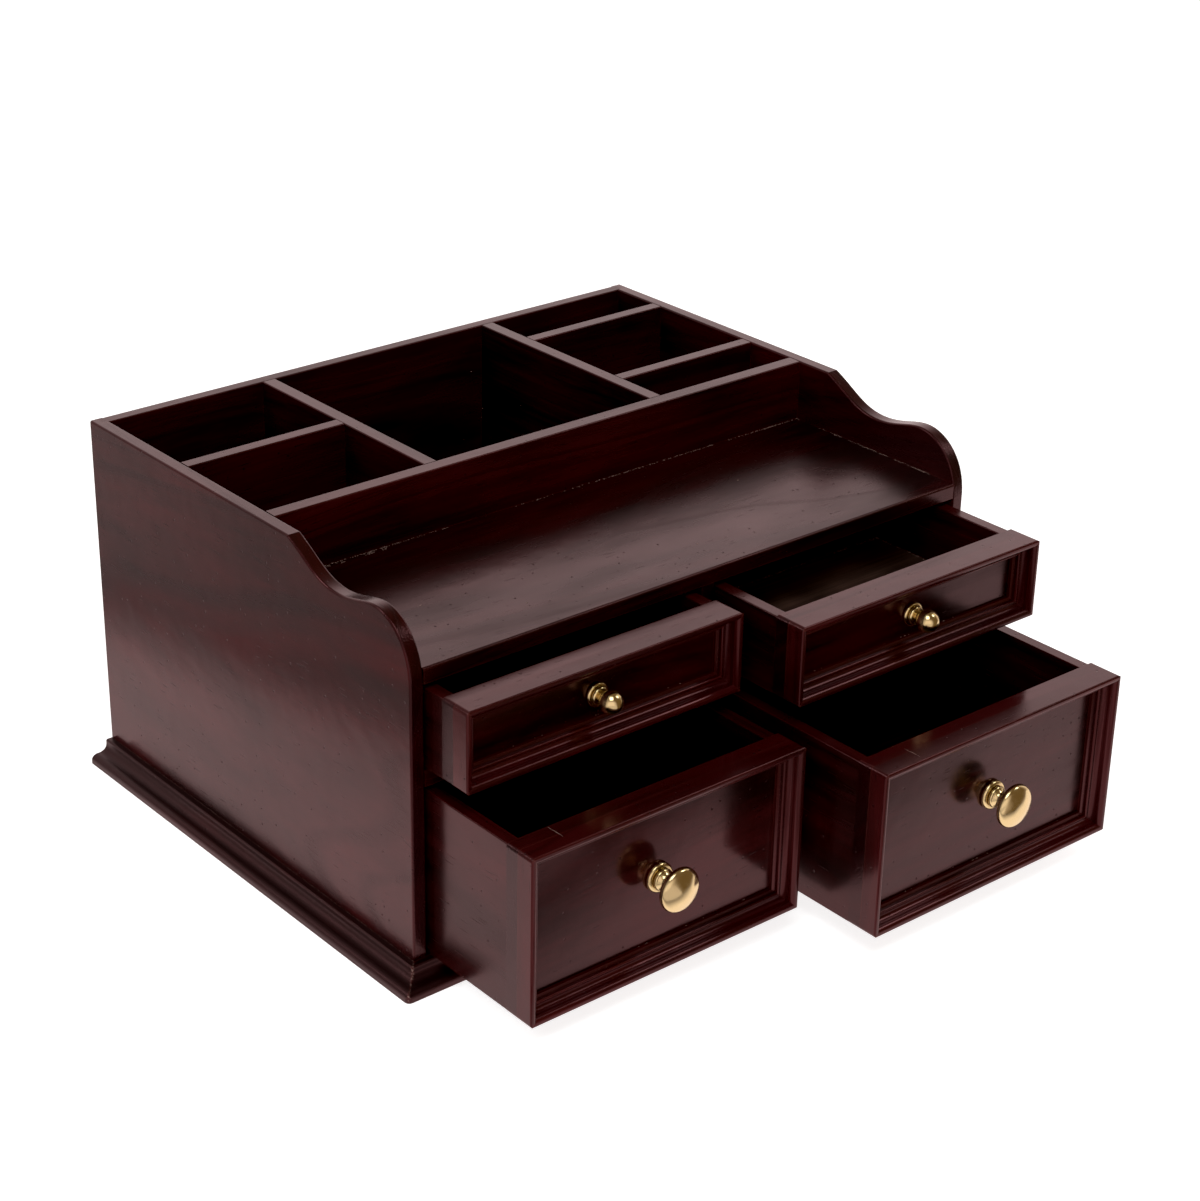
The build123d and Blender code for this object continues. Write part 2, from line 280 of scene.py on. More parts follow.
def open_pores(tree, log, length, width):
    """Pores as dashes along the grain, drawn wider than real ones to show, and the patches of open ones."""
    cell = (1 / (3 * length), 1 / (4.5 * width), 1 / (4.5 * width))
    spread = add(tree, "ShaderNodeVectorMath", {0: log, 1: cell}, operation="MULTIPLY")
    nearest = add(tree, "ShaderNodeTexVoronoi", {"Vector": spread, "Scale": 1})
    pores = add(tree, "ShaderNodeMapRange", {
        "Value": nearest.outputs["Distance"], "From Min": 0.08, "From Max": 0.22, "To Min": 1, "To Max": 0,
    })
    # Patches of open pores are about two centimetres wide.
    patch = add(tree, "ShaderNodeTexNoise", {"Vector": log, "Scale": 1 / 22, "Detail": 2})
    patch = add(tree, "ShaderNodeMapRange", {
        "Value": patch, "From Min": 0.4, "From Max": 0.65, "To Min": 0.1,
    })
    return add(tree, "ShaderNodeMath", {0: pores, 1: patch}, operation="MULTIPLY"), patch


def stained_wood(name, grain, pith, tilt, red=0.0, rub=1.0, top=0.0, figure=0.3, chipped=0.0):
    """Mahogany-coloured hardwood, planed, stained dark red and rubbed with lacquer.

    The stain soaks unevenly, so clouds and streaks along the grain go from near black to deep red, growth
    lines, pores, pits and end grain stay dark, hollows get painted shade, and the lacquer mirrors softly. Red
    says how much more of the red shows, rub how far the lacquer was rubbed down from its gloss, top how much
    painted light makes faces that point up redder, figure how dark growth lines are, and chipped how bare the
    corners are."""
    wood = bpy.context.scene.organizer_wood
    wear = bpy.context.scene.organizer_wear
    material, tree = new_material(name)
    place = add(tree, "ShaderNodeTexCoord").outputs
    here, normal = place["Object"], place["Normal"]
    log = grain_space(tree, here, grain, pith, tilt)
    bands, lines = growth_bands(tree, log, wood.band_width)
    pores, open_patch = open_pores(tree, log, wood.pore_length, wood.pore_width)

    # Fibres are about a millimetre wide and a finger long.
    fine = add(tree, "ShaderNodeVectorMath", {0: log, 1: (1 / 70, 1 / 1.3, 1 / 1.3)}, operation="MULTIPLY")
    fibres = add(tree, "ShaderNodeTexNoise", {"Vector": fine, "Scale": 1, "Detail": 3})

    # Knocks left dark pits about a millimetre wide, one on every two square centimetres.
    pits = add(tree, "ShaderNodeTexVoronoi", {"Vector": here, "Scale": 1000 / 7})
    pits = add(tree, "ShaderNodeMapRange", {
        "Value": pits.outputs["Distance"], "From Min": 0.11, "From Max": 0.06, "To Max": 0.9,
    })
    pores = add(tree, "ShaderNodeMath", {0: pores, 1: pits}, operation="MAXIMUM")

    # Stain takes unevenly in clouds some centimetres wide that are drawn out along the grain.
    drawn = add(tree, "ShaderNodeVectorMath", {0: log, 1: (1 / 110, 1 / 30, 1 / 30)}, operation="MULTIPLY")
    cloud = add(tree, "ShaderNodeTexNoise", {"Vector": drawn, "Scale": 1, "Detail": 3})
    streak = add(tree, "ShaderNodeMath", {0: bands, 1: 0.6}, operation="MULTIPLY")
    streak = add(tree, "ShaderNodeMath", {0: fibres, 1: 0.5, 2: streak}, operation="MULTIPLY_ADD")
    streak = add(tree, "ShaderNodeMath", {0: cloud, 1: 1.4, 2: streak}, operation="MULTIPLY_ADD")
    # Painted light: faces that point up are made redder, by as much as top says.
    painted_top_light = add(tree, "ShaderNodeSeparateXYZ", {0: normal})
    painted_top_light = add(tree, "ShaderNodeMapRange", {
        "Value": painted_top_light.outputs["Z"], "From Min": 0.6, "From Max": 0.9, "To Max": top,
    })
    streak = add(tree, "ShaderNodeMath", {0: streak, 1: painted_top_light}, operation="ADD")
    share = add(tree, "ShaderNodeMapRange", {"Value": streak, "From Min": 0.85 - red, "From Max": 1.65 - red})
    stain = add(tree, "ShaderNodeMix", {
        "Factor": share, MIX_A: (*wood.stain_deep, 1), MIX_B: (*wood.stain_red, 1),
    }, data_type="RGBA").outputs[MIX_RESULT]

    # Edges are rubbed thin, end grain holds the stain, hollows get painted shade, and fibres break the growth
    # lines.
    edge = add(tree, "ShaderNodeAmbientOcclusion", {
        "Distance": 1.2 * MM,
    }, inside=True, only_local=True, samples=3).outputs["AO"]
    rubbed = add(tree, "ShaderNodeMapRange", {"Value": edge, "From Min": 0.7, "From Max": 0.4, "To Max": 0.6})
    # Painted shade: the hollows and creases of each piece are darkened towards the darkest colour.
    hollow = add(tree, "ShaderNodeAmbientOcclusion", {
        "Distance": 3 * MM,
    }, only_local=True, samples=3).outputs["AO"]
    painted_hollow_shade = add(tree, "ShaderNodeMapRange", {"Value": hollow, "From Min": 0.9, "From Max": 0.45})
    fibre_way = {"X": (1, 0, 0), "Y": (0, 1, 0), "Z": (0, 0, 1)}[grain]
    facing = add(tree, "ShaderNodeVectorMath", {0: normal, 1: fibre_way}, operation="DOT_PRODUCT")
    facing = add(tree, "ShaderNodeMath", {0: facing.outputs["Value"]}, operation="ABSOLUTE")
    ends = add(tree, "ShaderNodeMapRange", {"Value": facing, "From Min": 0.35, "From Max": 0.75})
    broken = add(tree, "ShaderNodeMapRange", {
        "Value": fibres, "From Min": 0.42, "From Max": 0.58, "To Min": 0.6 * figure, "To Max": figure,
    })
    broken = add(tree, "ShaderNodeMath", {0: broken, 1: lines}, operation="MULTIPLY")
    gaps = add(tree, "ShaderNodeMath", {0: pores, 1: broken}, operation="MAXIMUM")
    dark = add(tree, "ShaderNodeMath", {0: gaps, 1: painted_hollow_shade}, operation="MAXIMUM")
    colour = add(tree, "ShaderNodeMix", {
        "Factor": rubbed, MIX_A: stain, MIX_B: (*wood.stain_worn, 1),
    }, data_type="RGBA").outputs[MIX_RESULT]
    # End grain, pores and growth lines take the dark stain, and the painted shade of the hollows uses the
    # same dark colour.
    soak_and_painted_shade = add(tree, "ShaderNodeMath", {0: ends, 1: 0.6}, operation="MULTIPLY")
    soak_and_painted_shade = add(tree, "ShaderNodeMath", {0: soak_and_painted_shade, 1: dark}, operation="MAXIMUM")
    colour = add(tree, "ShaderNodeMix", {
        "Factor": soak_and_painted_shade, MIX_A: colour, MIX_B: (*wood.stain_and_painted_shade, 1),
    }, data_type="RGBA").outputs[MIX_RESULT]

    # Corners are chipped to the bare wood in spots about a millimetre wide.
    spots = add(tree, "ShaderNodeTexNoise", {"Vector": here, "Scale": 1000 / 1.6, "Detail": 2})
    spots = add(tree, "ShaderNodeMapRange", {"Value": spots, "From Min": 0.5, "From Max": 0.58})
    chips = add(tree, "ShaderNodeMapRange", {
        "Value": edge, "From Min": 0.46, "From Max": 0.3, "To Max": chipped,
    })
    chips = add(tree, "ShaderNodeMath", {0: chips, 1: spots}, operation="MULTIPLY")
    colour = add(tree, "ShaderNodeMix", {
        "Factor": chips, MIX_A: colour, MIX_B: (*wear.polish, 1),
    }, data_type="RGBA").outputs[MIX_RESULT]

    # Specks of dust about half a millimetre wide stay where the cloth does not reach.
    grit = add(tree, "ShaderNodeTexVoronoi", {"Vector": here, "Scale": 1000 / 1.4})
    grit = add(tree, "ShaderNodeMapRange", {
        "Value": grit.outputs["Distance"], "From Min": 0.24, "From Max": 0.12, "To Max": 0.5,
    })
    corner = add(tree, "ShaderNodeMapRange", {"Value": hollow, "From Min": 0.97, "From Max": 0.7})
    grit = add(tree, "ShaderNodeMath", {0: grit, 1: corner}, operation="MULTIPLY")
    grit = add(tree, "ShaderNodeMath", {0: grit, 1: open_patch}, operation="MULTIPLY")
    colour = add(tree, "ShaderNodeMix", {
        "Factor": grit, MIX_A: colour, MIX_B: (*wear.dust, 1),
    }, data_type="RGBA").outputs[MIX_RESULT]

    # The rub of the lacquer varies in clouds, and it is duller over pores, growth lines, hollows with painted
    # shade and dust.
    gloss = wood.lacquer_roughness * rub
    sheen = add(tree, "ShaderNodeMapRange", {
        "Value": cloud, "From Min": 0.3, "From Max": 0.7, "To Min": gloss * 1.3, "To Max": gloss * 0.75,
    })
    rough = add(tree, "ShaderNodeMath", {0: dark, 1: 0.18, 2: sheen}, operation="MULTIPLY_ADD")
    rough = add(tree, "ShaderNodeMath", {0: grit, 1: 0.5, 2: rough}, operation="MULTIPLY_ADD")

    # The fibres show through the lacquer, end grain as dots, and the planed face is not quite flat.
    dots = add(tree, "ShaderNodeTexNoise", {"Vector": here, "Scale": 1000 / 0.9, "Detail": 2})
    dots = add(tree, "ShaderNodeMath", {0: dots, 1: ends}, operation="MULTIPLY")
    wave = add(tree, "ShaderNodeTexNoise", {"Vector": log, "Scale": 1 / 14, "Detail": 1})
    relief = add(tree, "ShaderNodeMath", {0: gaps, 1: -0.5}, operation="MULTIPLY")
    relief = add(tree, "ShaderNodeMath", {0: pits, 1: -2.0, 2: relief}, operation="MULTIPLY_ADD")
    relief = add(tree, "ShaderNodeMath", {0: fibres, 1: 0.6, 2: relief}, operation="MULTIPLY_ADD")
    relief = add(tree, "ShaderNodeMath", {0: wave, 1: 3.5, 2: relief}, operation="MULTIPLY_ADD")
    relief = add(tree, "ShaderNodeMath", {0: dots, 1: 5.0, 2: relief}, operation="MULTIPLY_ADD")
    bump = add(tree, "ShaderNodeBump", {"Height": relief, "Strength": 0.6, "Distance": 0.05 * MM})
    shader = add(tree, "ShaderNodeBsdfPrincipled", {
        "Base Color": colour, "Roughness": rough, "IOR": 1.5, "Normal": bump,
        "Specular Tint": (*wood.lacquer_tint, 1),
    })
    add(tree, "ShaderNodeOutputMaterial", {"Surface": shader})
    return material


def turned_brass(name, centre):
    """Yellow brass, turned on a lathe, polished and lacquered.

    Polishing leaves soft mirror reflections and faint rings round the axis, and grooves tarnish brown."""
    brass = bpy.context.scene.organizer_brass
    material, tree = new_material(name)
    here = add(tree, "ShaderNodeTexCoord").outputs["Object"]
    axis = add(tree, "ShaderNodeMapping", {
        "Vector": here, "Location": -1000 * centre, "Scale": (1000, 1000, 1000),
    })
    across = add(tree, "ShaderNodeVectorMath", {0: axis, 1: (1, 0, 1)}, operation="MULTIPLY")
    radius = add(tree, "ShaderNodeVectorMath", {0: across}, operation="LENGTH")

    # Turning rings, half a millimetre apart so that they show in a close view.
    rings = add(tree, "ShaderNodeTexNoise", {
        "W": radius.outputs["Value"], "Scale": 2, "Detail": 2,
    }, noise_dimensions="1D")
    smear = add(tree, "ShaderNodeTexNoise", {"Vector": axis, "Scale": 1 / 3, "Detail": 3})
    groove = add(tree, "ShaderNodeAmbientOcclusion", {"Distance": 3 * MM}, only_local=True, samples=3)
    brown = add(tree, "ShaderNodeMapRange", {
        "Value": groove.outputs["AO"], "From Min": 0.85, "From Max": 0.35, "To Max": 0.8,
    })
    colour = add(tree, "ShaderNodeMix", {
        "Factor": brown, MIX_A: (*brass.brass, 1), MIX_B: (*brass.tarnish, 1),
    }, data_type="RGBA").outputs[MIX_RESULT]
    gloss = brass.polish_roughness
    rough = add(tree, "ShaderNodeMapRange", {
        "Value": smear, "From Min": 0.3, "From Max": 0.7, "To Min": gloss * 0.8, "To Max": gloss * 1.4,
    })
    bump = add(tree, "ShaderNodeBump", {"Height": rings, "Strength": 0.2, "Distance": 0.02 * MM})
    shader = add(tree, "ShaderNodeBsdfPrincipled", {
        "Base Color": colour, "Metallic": 1, "Roughness": rough, "Normal": bump,
    })
    add(tree, "ShaderNodeOutputMaterial", {"Surface": shader})
    return material


def dusty_board(name):
    """Thin stained board that was never polished.

    It looks dull and brown-grey, because dust lies over the stain in clouds and in the open grain."""
    wear = bpy.context.scene.organizer_wear
    wood = bpy.context.scene.organizer_wood
    material, tree = new_material(name)
    here = add(tree, "ShaderNodeTexCoord").outputs["Object"]
    # Clouds of dust are a few centimetres wide, and the grain streaks about a millimetre.
    clouds = add(tree, "ShaderNodeTexNoise", {"Vector": here, "Scale": 1000 / 35, "Detail": 4})
    fine = add(tree, "ShaderNodeMapping", {"Vector": here, "Scale": (1000 / 60, 1000 / 1.2, 1000 / 1.2)})
    streaks = add(tree, "ShaderNodeTexNoise", {"Vector": fine, "Scale": 1, "Detail": 3})
    share = add(tree, "ShaderNodeMath", {0: clouds, 1: streaks}, operation="MULTIPLY")
    share = add(tree, "ShaderNodeMapRange", {
        "Value": share, "From Min": 0.05, "From Max": 0.5, "To Max": 0.8,
    })
    colour = add(tree, "ShaderNodeMix", {
        "Factor": share, MIX_A: (*wood.stain_deep, 1), MIX_B: (*wear.dust, 1),
    }, data_type="RGBA").outputs[MIX_RESULT]
    bump = add(tree, "ShaderNodeBump", {"Height": streaks, "Strength": 0.4, "Distance": 0.1 * MM})
    rough = add(tree, "ShaderNodeMapRange", {"Value": share, "To Min": 0.5, "To Max": 0.85})
    shader = add(tree, "ShaderNodeBsdfPrincipled", {
        "Base Color": colour, "Roughness": rough, "Normal": bump, "Specular IOR Level": 0.2,
    })
    add(tree, "ShaderNodeOutputMaterial", {"Surface": shader})
    return material


def dried_polish(name):
    """Wax polish that dried where the cloth did not reach: a pale, chalky crust with pinkish spots.

    Wood that was rubbed bare looks as pale and as spotted."""
    wear = bpy.context.scene.organizer_wear
    material, tree = new_material(name)
    here = add(tree, "ShaderNodeTexCoord").outputs["Object"]
    # Spots are about a millimetre wide.
    spots = add(tree, "ShaderNodeTexNoise", {"Vector": here, "Scale": 1000 / 1.2, "Detail": 2})
    share = add(tree, "ShaderNodeMapRange", {"Value": spots, "From Min": 0.35, "From Max": 0.65})
    stained = [c * 0.4 for c in wear.polish]
    colour = add(tree, "ShaderNodeMix", {
        "Factor": share, MIX_A: (*stained, 1), MIX_B: (*wear.polish, 1),
    }, data_type="RGBA").outputs[MIX_RESULT]
    shader = add(tree, "ShaderNodeBsdfPrincipled", {"Base Color": colour, "Roughness": 0.75})
    add(tree, "ShaderNodeOutputMaterial", {"Surface": shader})
    return material


class ORGANIZER_OT_carcass(bpy.types.Operator):
    """Stain and lacquer the boards of the carcass"""

    bl_idname = "organizer.carcass"
    bl_label = "Finish the carcass"

    def execute(self, context):
        side = {"rub": 1.05, "figure": 0.5}
        plinth = {"red": -0.4, "rub": 2, "chipped": 0.8}
        # Each row has a name, the way of the grain, the pith's place and tilt, the finish and the nodes.
        boards = (
            ("left_side", "Y", (-60, 140, -70), (0, 0, 4), side, ["left_side_panel"]),
            ("right_side", "Y", (40, -130, -130), (0, 0, -5), side, ["right_side_panel"]),
            ("back", "X", (30, -90, -160), (0, 2, 3), {"red": -0.1, "rub": 1.5}, ["back_panel"]),
            ("level_boards", "X", (0, 60, 40), (0, 2, 1), {"red": -0.2, "rub": 1.4}, [
                "base_board", "middle_board", "shelf_board",
            ]),
            ("cross_walls", "X", (80, 110, -60), (0, 1, 2), {}, [
                "compartment_front_wall", "left_cross_divider",
                "right_rear_cross_divider", "right_front_cross_divider",
            ]),
            ("partitions", "Y", (0, 90, -110), (0, 0, 3), {"red": -0.25}, [
                "left_partition", "right_partition", "upper_drawer_divider", "lower_drawer_divider",
            ]),
            ("front_plinth", "X", (40, 200, 30), (0, 1, 1), plinth, ["base_moulding_front"]),
            ("side_plinths", "Y", (0, 60, 50), (0, 0, 1), plinth, [
                "base_moulding_left", "base_moulding_right",
            ]),
        )
        for name, grain, pith, tilt, finish, nodes in boards:
            dress(nodes, stained_wood("lacquered_mahogany_" + name, grain, pith, tilt, **finish))
        return {"FINISHED"}


class ORGANIZER_OT_drawers(bpy.types.Operator):
    """Stain and lacquer the boards and mouldings of the drawers"""

    bl_idname = "organizer.drawers"
    bl_label = "Finish the drawers"

    def execute(self, context):
        # The top value says how much painted light makes the faces that point up redder.
        inside = {"red": -0.15, "rub": 1.2, "top": 0.4}
        # The rows are as the carcass has them, with the ends of the nodes' names.
        boards = (
            ("drawer_fronts", "X", (0, 230, -110), (0, 3, 4), {"red": -0.25, "rub": 0.9, "top": 0.5}, [
                "front_board",
            ]),
            ("drawer_rails", "X", (60, 300, 40), (0, 1, 1), {"red": 0.15, "top": 0.15}, [
                "moulding_top", "moulding_bottom",
            ]),
            ("drawer_stiles", "Z", (0, 280, 30), (1, 0, 1), {"red": 0.1, "top": 0.15}, [
                "moulding_left", "moulding_right",
            ]),
            ("drawer_sides", "Y", (0, 120, -60), (0, 0, 2), inside, ["side_left", "side_right"]),
            ("drawer_backs", "X", (20, 150, 60), (0, 1, 1), inside, ["back"]),
        )
        for name, grain, pith, tilt, finish, ends in boards:
            material = stained_wood("lacquered_mahogany_" + name, grain, pith, tilt, **finish)
            dress([drawer + "_" + end for drawer in DRAWERS for end in ends], material)
        dress([drawer + "_bottom" for drawer in DRAWERS], dusty_board("dusty_stained_drawer_bottom"))
        return {"FINISHED"}


class ORGANIZER_OT_knobs(bpy.types.Operator):
    """Polish the brass knobs of the drawers"""

    bl_idname = "organizer.knobs"
    bl_label = "Finish the knobs"

    def execute(self, context):
        for drawer in DRAWERS:
            low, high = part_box(drawer + "_knob")
            dress([drawer + "_knob"], turned_brass("turned_brass_" + drawer, (low + high) / 2))
        return {"FINISHED"}


def new_tree(name, sizes):
    """A node tree with a named input for each size, and its inputs."""
    tree = bpy.data.node_groups.new(name, "GeometryNodeTree")
    face = tree.interface
    face.new_socket("Geometry", in_out="INPUT", socket_type="NodeSocketGeometry")
    for size in sizes:
        face.new_socket(size, in_out="INPUT", socket_type="NodeSocketFloat")
    face.new_socket("Material", in_out="INPUT", socket_type="NodeSocketMaterial")
    face.new_socket("Geometry", in_out="OUTPUT", socket_type="NodeSocketGeometry")
    return tree, add(tree, "NodeGroupInput").outputs


def end_tree(tree, instances, material):
    """The end of a node tree: its instances made one mesh in one material."""
    whole = add(tree, "GeometryNodeRealizeInstances", {"Geometry": instances})
    painted = add(tree, "GeometryNodeSetMaterial", {"Geometry": whole, "Material": material})
    add(tree, "NodeGroupOutput", {0: painted})


def flake_tree():
    """A node tree that sets a small irregular flake on every point of its mesh."""
    tree, given = new_tree("flakes", ["Size", "Flatness"])
    spots = add(tree, "GeometryNodeMeshToPoints", {"Mesh": given["Geometry"]})
    flake = add(tree, "GeometryNodeMeshIcoSphere", {"Radius": given["Size"], "Subdivisions": 1})
    squash = add(tree, "ShaderNodeCombineXYZ", {0: 1.0, 1: 0.7, 2: given["Flatness"]})
    flake = add(tree, "GeometryNodeTransform", {"Geometry": flake, "Scale": squash})
    turn = add(tree, "FunctionNodeRandomValue", {
        "Min": (0, 0, 0), "Max": (0.2, 0.2, 6.28), "Seed": 3,
    }, data_type="FLOAT_VECTOR")
    grow = add(tree, "FunctionNodeRandomValue", {
        "Min": (0.4, 0.4, 0.6), "Max": (1.5, 1.3, 1.2), "Seed": 8,
    }, data_type="FLOAT_VECTOR")
    put = add(tree, "GeometryNodeInstanceOnPoints", {
        "Points": spots, "Instance": flake, "Rotation": turn, "Scale": grow,
    })
    end_tree(tree, put, given["Material"])
    return tree


def grown(points, edges, tree, values, name, material, body):
    """The result of a node tree on points and edges, as a plain finished piece that rides on a body."""
    mesh = bpy.data.meshes.new(name + "_points")
    mesh.from_pydata(points, edges, [])
    seed = put_in_scene(name + "_points", mesh)
    modifier = seed.modifiers.new(name, "NODES")
    modifier.node_group = tree
    values = {**values, "Material": material}
    for item in tree.interface.items_tree:
        if item.in_out == "INPUT" and item.name in values:
            modifier[item.identifier] = values[item.name]
    bpy.context.view_layer.update()
    ready = seed.evaluated_get(bpy.context.evaluated_depsgraph_get())
    made = bpy.data.meshes.new_from_object(ready)
    seed.modifiers.remove(modifier)
    bpy.data.objects.remove(seed)
    if not made.polygons:
        raise RuntimeError("The tree made nothing for " + name)
    made.name = name
    place_piece(made, name, material, body)


def screw_tree():
    """A node tree that sets a slotted screw with a washer on each point, facing the back."""
    washer_t, dome = 0.9 * MM, 0.6
    slot_w, slot_h, slot_floor = 1 * MM, 2 * MM, 2.2 * MM
    cutter = 10 * MM
    tree, given = new_tree("knob_screw", ["Head", "Washer", "Turn"])
    washer_r = add(tree, "ShaderNodeMath", {0: given["Washer"], 1: 0.5}, operation="MULTIPLY")
    washer = add(tree, "GeometryNodeMeshCylinder", {
        "Vertices": 40, "Radius": washer_r, "Depth": 2 * washer_t,
    })
    head_r = add(tree, "ShaderNodeMath", {0: given["Head"], 1: 0.5}, operation="MULTIPLY")
    head = add(tree, "GeometryNodeMeshUVSphere", {"Segments": 32, "Rings": 16, "Radius": head_r})
    head = add(tree, "GeometryNodeTransform", {
        "Geometry": head, "Translation": (0, 0, washer_t), "Scale": (1, 1, dome),
    })
    both = add(tree, "GeometryNodeJoinGeometry", {"Geometry": [washer, head]})

    # A slot goes across the head, and what lies below the board's face is cut away.
    slot = add(tree, "GeometryNodeMeshCube", {"Size": (2 * cutter, slot_w, slot_h)})
    slot = add(tree, "GeometryNodeTransform", {
        "Geometry": slot, "Translation": (0, 0, slot_floor + slot_h / 2),
    })
    below = add(tree, "GeometryNodeMeshCube", {"Size": (3 * cutter, 3 * cutter, cutter)})
    below = add(tree, "GeometryNodeTransform", {"Geometry": below, "Translation": (0, 0, -cutter / 2)})
    cut = add(tree, "GeometryNodeMeshBoolean", {
        "Mesh 1": both, "Mesh 2": [slot, below], "Self Intersection": True,
    }, operation="DIFFERENCE", solver="EXACT")
    spin = add(tree, "ShaderNodeCombineXYZ", {2: given["Turn"]})
    spun = add(tree, "GeometryNodeTransform", {"Geometry": cut, "Rotation": spin})
    spots = add(tree, "GeometryNodeMeshToPoints", {"Mesh": given["Geometry"]})
    put = add(tree, "GeometryNodeInstanceOnPoints", {
        "Points": spots, "Instance": spun, "Rotation": (-math.pi / 2, 0, 0),
    })
    end_tree(tree, put, given["Material"])
    return tree


def pin_tree():
    """A node tree that drives round pin heads along the edges of its mesh, facing the back."""
    tree, given = new_tree("panel_pins", ["Head", "Spacing"])
    path = add(tree, "GeometryNodeMeshToCurve", {"Mesh": given["Geometry"]})
    spaced = add(tree, "GeometryNodeResampleCurve", {
        "Curve": path, "Length": given["Spacing"],
    }, mode="LENGTH")
    head_r = add(tree, "ShaderNodeMath", {0: given["Head"], 1: 0.5}, operation="MULTIPLY")
    head = add(tree, "GeometryNodeMeshUVSphere", {"Segments": 16, "Rings": 8, "Radius": head_r})
    head = add(tree, "GeometryNodeTransform", {"Geometry": head, "Scale": (1, 0.3, 1)})
    put = add(tree, "GeometryNodeInstanceOnPoints", {"Points": spaced, "Instance": head})
    end_tree(tree, put, given["Material"])
    return tree


def scattered(start, end, count, spread, seed):
    """Points near a line in millimetres, gathered in clumps as dust and polish lie."""
    dice = random.Random(seed)
    clumps = [dice.random() for _ in range(3 + count // 8)]
    points = []
    for _ in range(count):
        along = min(1, max(0, dice.choice(clumps) + dice.gauss(0, 0.02)))
        aside = Vector([dice.uniform(0, most) for most in spread])
        points.append((Vector(start).lerp(Vector(end), along) + aside) * MM)
    return points


class ORGANIZER_OT_screws(bpy.types.Operator):
    """Add the screws and washers that hold the knobs from inside the drawers"""

    bl_idname = "organizer.screws"
    bl_label = "Add the knob screws"

    def execute(self, context):
        brass = context.scene.organizer_brass
        tree = screw_tree()
        for drawer, turn in zip(DRAWERS, (0.5, 1.3, 2.2, 0.1)):
            low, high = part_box(drawer + "_knob")
            spot = (low + high) / 2
            spot.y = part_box(drawer + "_front_board")[1].y
            values = {"Head": brass.screw_head, "Washer": brass.washer, "Turn": turn}
            material = turned_brass("turned_brass_screw_" + drawer, spot)
            grown([spot], [], tree, values, drawer + "_knob_screw", material, drawer)
        return {"FINISHED"}


class ORGANIZER_OT_pins(bpy.types.Operator):
    """Add the pins round the edge of the back panel"""

    bl_idname = "organizer.pins"
    bl_label = "Add the panel pins"

    def execute(self, context):
        wear = context.scene.organizer_wear
        low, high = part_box("back_panel")
        inset = 5 * MM
        x0, x1 = low.x + inset, high.x - inset
        z0, z1 = low.z + inset, high.z - inset
        # The upright rows start three quarters of a spacing from the corners.
        step = wear.pin_spacing * 0.75
        rows = (
            ((x0, z0), (x1, z0)), ((x0, z1), (x1, z1)),
            ((x0, z0 + step), (x0, z1 - step)), ((x1, z0 + step), (x1, z1 - step)),
        )
        points = [(x, high.y, z) for row in rows for x, z in row]
        edges = [(i, i + 1) for i in range(0, len(points), 2)]
        values = {"Head": wear.pin, "Spacing": wear.pin_spacing}
        material = turned_brass("turned_brass_panel_pins", Vector((0, high.y, 0)))
        grown(points, edges, pin_tree(), values, "back_panel_pins", material, "carcass")
        return {"FINISHED"}


class ORGANIZER_OT_traces(bpy.types.Operator):
    """Add the dried polish and dust in the corners, and single flecks"""

    bl_idname = "organizer.traces"
    bl_label = "Add polish and dust"

    def execute(self, context):
        wear = context.scene.organizer_wear
        tree = flake_tree()
        material = dried_polish("dried_wax_polish")
        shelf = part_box("shelf_board")[1].z / MM
        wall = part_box("compartment_front_wall")[0].y / MM
        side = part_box("right_side_panel")[0].x / MM
        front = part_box("shelf_board")[0].y / MM
        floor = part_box("middle_board")[1].z / MM
        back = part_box("back_panel")[0].y / MM
        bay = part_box("right_partition")[0].x / MM
        left_rear, right_rear = (-side, wall, shelf), (side, wall, shelf)
        left_bay, right_bay = (-bay, back, floor), (bay, back, floor)
        # Each row has its two ends, its number of flakes, how far they stray in millimetres, and its seed.
        rows = [
            (left_rear, right_rear, 300, (0, -0.9, 0.15), 5),
            (left_rear, (-side + 75, wall, shelf), 150, (0, -3, 0.05), 4),
            (right_rear, (side, front, shelf), 150, (-0.9, 0, 0.15), 6),
            (left_rear, (-side, front, shelf), 110, (0.9, 0, 0.15), 7),
            (left_bay, right_bay, 14, (0, -0.4, 75), 11),
            (right_bay, (bay, back - 90, floor), 16, (-0.3, 0, 80), 12),
        ]
        flecks = ((-103.8, -127.6), (17, -126.3), (-25.6, -103.4), (96, -74), (-150, -96))
        rows += [((x, y, shelf), (x, y, shelf), 3, (0.7, 0.5, 0.1), 20) for x, y in flecks]
        spots = [spot for row in rows for spot in scattered(*row)]
        values = {"Size": wear.flake, "Flatness": 0.35}
        grown(spots, [], tree, values, "carcass_polish_traces", material, "carcass")

        # The upper right drawer is the dustiest, along its right side and its back.
        for drawer, seed, dusty in zip(DRAWERS, (31, 32, 33, 34), (60, 260, 60, 60)):
            low, high = (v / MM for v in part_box(drawer + "_bottom"))
            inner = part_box(drawer + "_side_right")[0].x / MM
            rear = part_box(drawer + "_back")[0].y / MM
            rail_low, rail_high = (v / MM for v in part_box(drawer + "_moulding_bottom"))
            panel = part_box(drawer + "_front_board")[0].y / MM
            corner = (inner, rear, high.z)
            front_end = (inner, low.y + 12, high.z)
            left_end = (inner - 0.8 * (high.x - low.x), rear, high.z)
            rail_ends = [(x, panel, rail_high.z) for x in (rail_low.x + 14, rail_high.x - 14)]
            rows = (
                (corner, front_end, dusty // 2, (-1.4, 0, 0.1), seed),
                (corner, left_end, dusty // 2, (0, -1.4, 0.1), seed + 10),
                (*rail_ends, 8, (0, -0.3, 0.2), seed + 20),
            )
            spots = [spot for row in rows for spot in scattered(*row)]
            grown(spots, [], tree, values, drawer + "_dust_traces", material, drawer)
        return {"FINISHED"}


